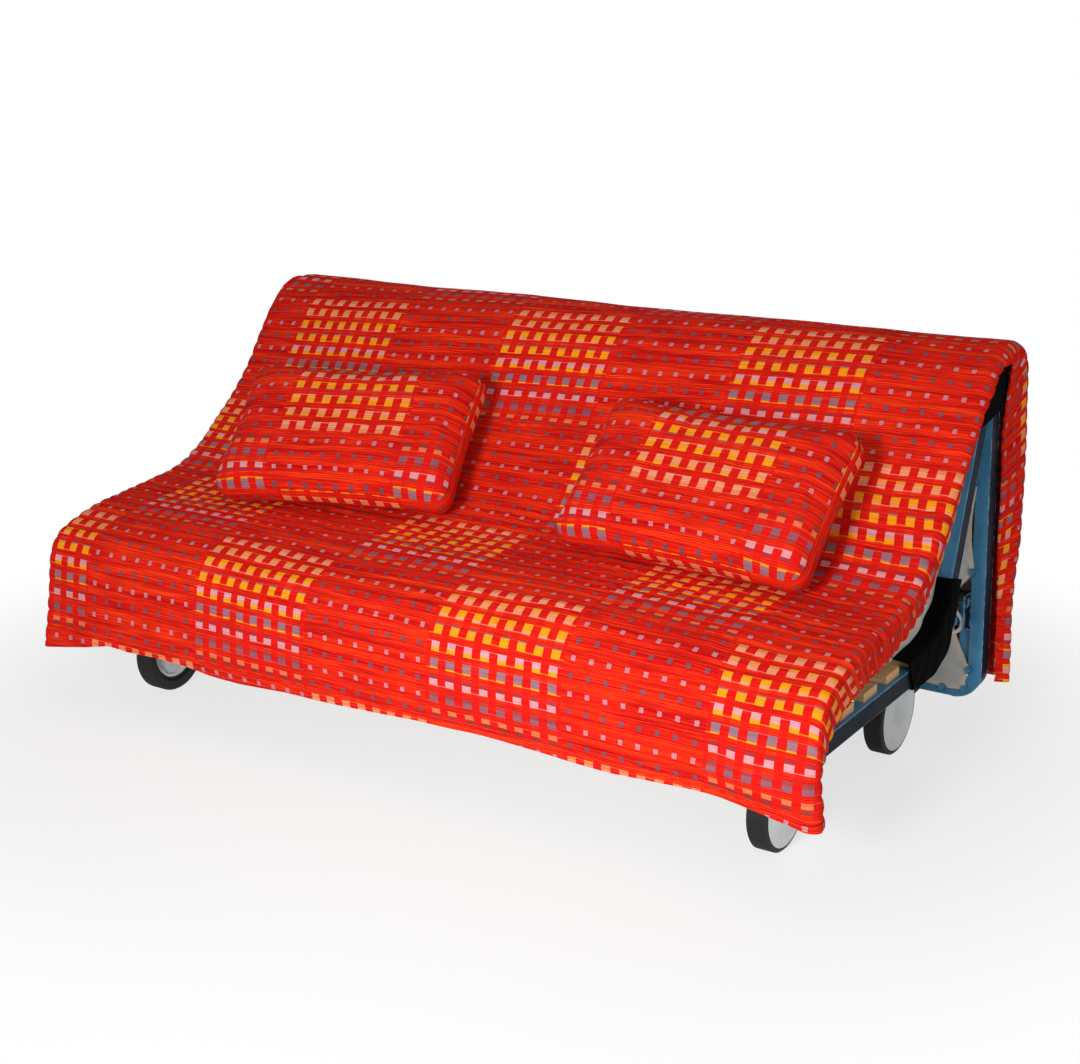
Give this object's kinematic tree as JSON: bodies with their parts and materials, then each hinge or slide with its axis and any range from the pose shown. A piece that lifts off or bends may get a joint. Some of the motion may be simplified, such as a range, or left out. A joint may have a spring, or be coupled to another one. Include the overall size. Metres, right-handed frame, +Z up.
{
  "type": "sofa bed",
  "caption": "Folding sofa bed on four wheels: three hinged tube-frame sections with a quilted cover, box cushions and a swing-down stand.",
  "frame": {"origin": "middle of the overall box, on the floor under the wheels", "axes": "+X is the sitter's left-to-right as seen from the front, +Y points to the back, +Z is up"},
  "size_m": [1.9, 1.0473, 0.875],
  "materials": {
    "blue_paint": "satin",
    "dark_steel": "satin",
    "bare_steel": "brushed",
    "slat_wood": "planed",
    "black_rubber": "matte",
    "white_plastic": "gloss",
    "hook_plastic": "matte",
    "blue_plastic": "satin",
    "black_plastic": "matte",
    "red_cover": "quilted",
    "ticking": "woven",
    "canvas": "woven",
    "black_cloth": "napped"
  },
  "bodies": {
    "seat": {"seat_side_tube_left": "blue_paint", "seat_side_tube_right": "blue_paint", "seat_front_rail": "blue_paint", "seat_rear_rail": "blue_paint", "seat_centre_rail": "blue_paint", "seat_slats": "slat_wood", "carriage_beam_left": "blue_paint", "carriage_beam_right": "blue_paint", "axle_brackets": "blue_paint", "wheel_axles": "bare_steel", "seat_hinge_plates": "blue_paint", "lower_hinge_pins": "bare_steel", "seat_sleeves": "black_cloth", "seat_mattress": "ticking", "seat_cover": "red_cover", "crease_mattress": "ticking", "crease_cover": "red_cover"},
    "back": {"back_side_tube_left": "blue_paint", "back_side_tube_right": "blue_paint", "back_rails": "blue_paint", "back_slats": "slat_wood", "back_hinge_plates": "blue_paint", "upper_hinge_pins": "bare_steel", "back_sleeves": "black_cloth", "back_mattress": "ticking", "back_cover": "red_cover", "top_mattress": "ticking", "top_cover": "red_cover"},
    "rear": {"rear_side_tube_left": "blue_paint", "rear_side_tube_right": "blue_paint", "rear_bottom_rail": "blue_paint", "rear_top_rail": "blue_paint", "rear_hinge_plates": "blue_paint", "rear_canvas": "canvas", "canvas_buttons": "blue_plastic", "rear_cross_bar": "dark_steel", "cross_bar_brackets": "blue_paint", "cross_bar_bolts": "dark_steel", "rear_stiffeners": "blue_paint", "stand_ears": "blue_paint", "stand_pins": "bare_steel", "rear_sleeves": "black_cloth", "rear_mattress": "ticking", "rear_cover": "red_cover"},
    "stand": {"stand_legs": "blue_paint", "stand_cross_tube": "blue_paint", "stand_feet": "black_plastic", "stand_knobs": "blue_plastic"},
    "hook_left": {"stand_hook_left": "hook_plastic"},
    "hook_right": {"stand_hook_right": "hook_plastic"},
    "cushion_left": {"cushion_left": "red_cover"},
    "cushion_right": {"cushion_right": "red_cover"},
    "wheel_front_left": {"tyre_front_left": "black_rubber", "hub_front_left": "white_plastic"},
    "wheel_front_right": {"tyre_front_right": "black_rubber", "hub_front_right": "white_plastic"},
    "wheel_rear_left": {"tyre_rear_left": "black_rubber", "hub_rear_left": "white_plastic"},
    "wheel_rear_right": {"tyre_rear_right": "black_rubber", "hub_rear_right": "white_plastic"}
  },
  "joints": [
    {"name": "back_fold", "type": "hinge", "parent": "seat", "child": "back", "pos_m": [0, 0.118, 0.303], "axis": [-1, 0, 0], "range_deg": [0, 69.6], "deforming": ["crease_mattress", "crease_cover"]},
    {"name": "rear_fold", "type": "hinge", "parent": "back", "child": "rear", "pos_m": [0, 0.34337, 0.79425], "axis": [1, 0, 0], "range_deg": [0, 156], "deforming": ["top_mattress", "top_cover"]},
    {"name": "stand_swing", "type": "hinge", "parent": "rear", "child": "stand", "pos_m": [0, 0.36168, 0.10504], "axis": [1, 0, 0], "range_deg": [0, 90]},
    {"name": "hook_swing_left", "type": "hinge", "parent": "rear", "child": "hook_left", "pos_m": [-0.857, 0.39291, 0.32544], "axis": [-1, 0, 0], "range_deg": [0, 25]},
    {"name": "hook_swing_right", "type": "hinge", "parent": "rear", "child": "hook_right", "pos_m": [0.857, 0.39291, 0.32544], "axis": [-1, 0, 0], "range_deg": [0, 25]},
    {"name": "cushion_lift_left", "type": "slide", "parent": "seat", "child": "cushion_left", "axis": [0.1151, -0.6526, 0.749], "range_m": [0, 0.3]},
    {"name": "cushion_lift_right", "type": "slide", "parent": "seat", "child": "cushion_right", "axis": [-0.0217, -0.6918, 0.7218], "range_m": [0, 0.3]},
    {"name": "wheel_spin_front_left", "type": "hinge", "parent": "seat", "child": "wheel_front_left", "pos_m": [-0.7835, -0.311, 0.093], "axis": [1, 0, 0], "continuous": true},
    {"name": "wheel_spin_front_right", "type": "hinge", "parent": "seat", "child": "wheel_front_right", "pos_m": [0.7835, -0.311, 0.093], "axis": [1, 0, 0], "continuous": true},
    {"name": "wheel_spin_rear_left", "type": "hinge", "parent": "seat", "child": "wheel_rear_left", "pos_m": [-0.7835, 0.235, 0.093], "axis": [1, 0, 0], "continuous": true},
    {"name": "wheel_spin_rear_right", "type": "hinge", "parent": "seat", "child": "wheel_rear_right", "pos_m": [0.7835, 0.235, 0.093], "axis": [1, 0, 0], "continuous": true}
  ],
  "couplings": [
    {"joint": "rear_fold", "follows": "back_fold", "ratio": 2.2414},
    {"joint": "stand_swing", "follows": "back_fold", "ratio": 1.2931}
  ]
}
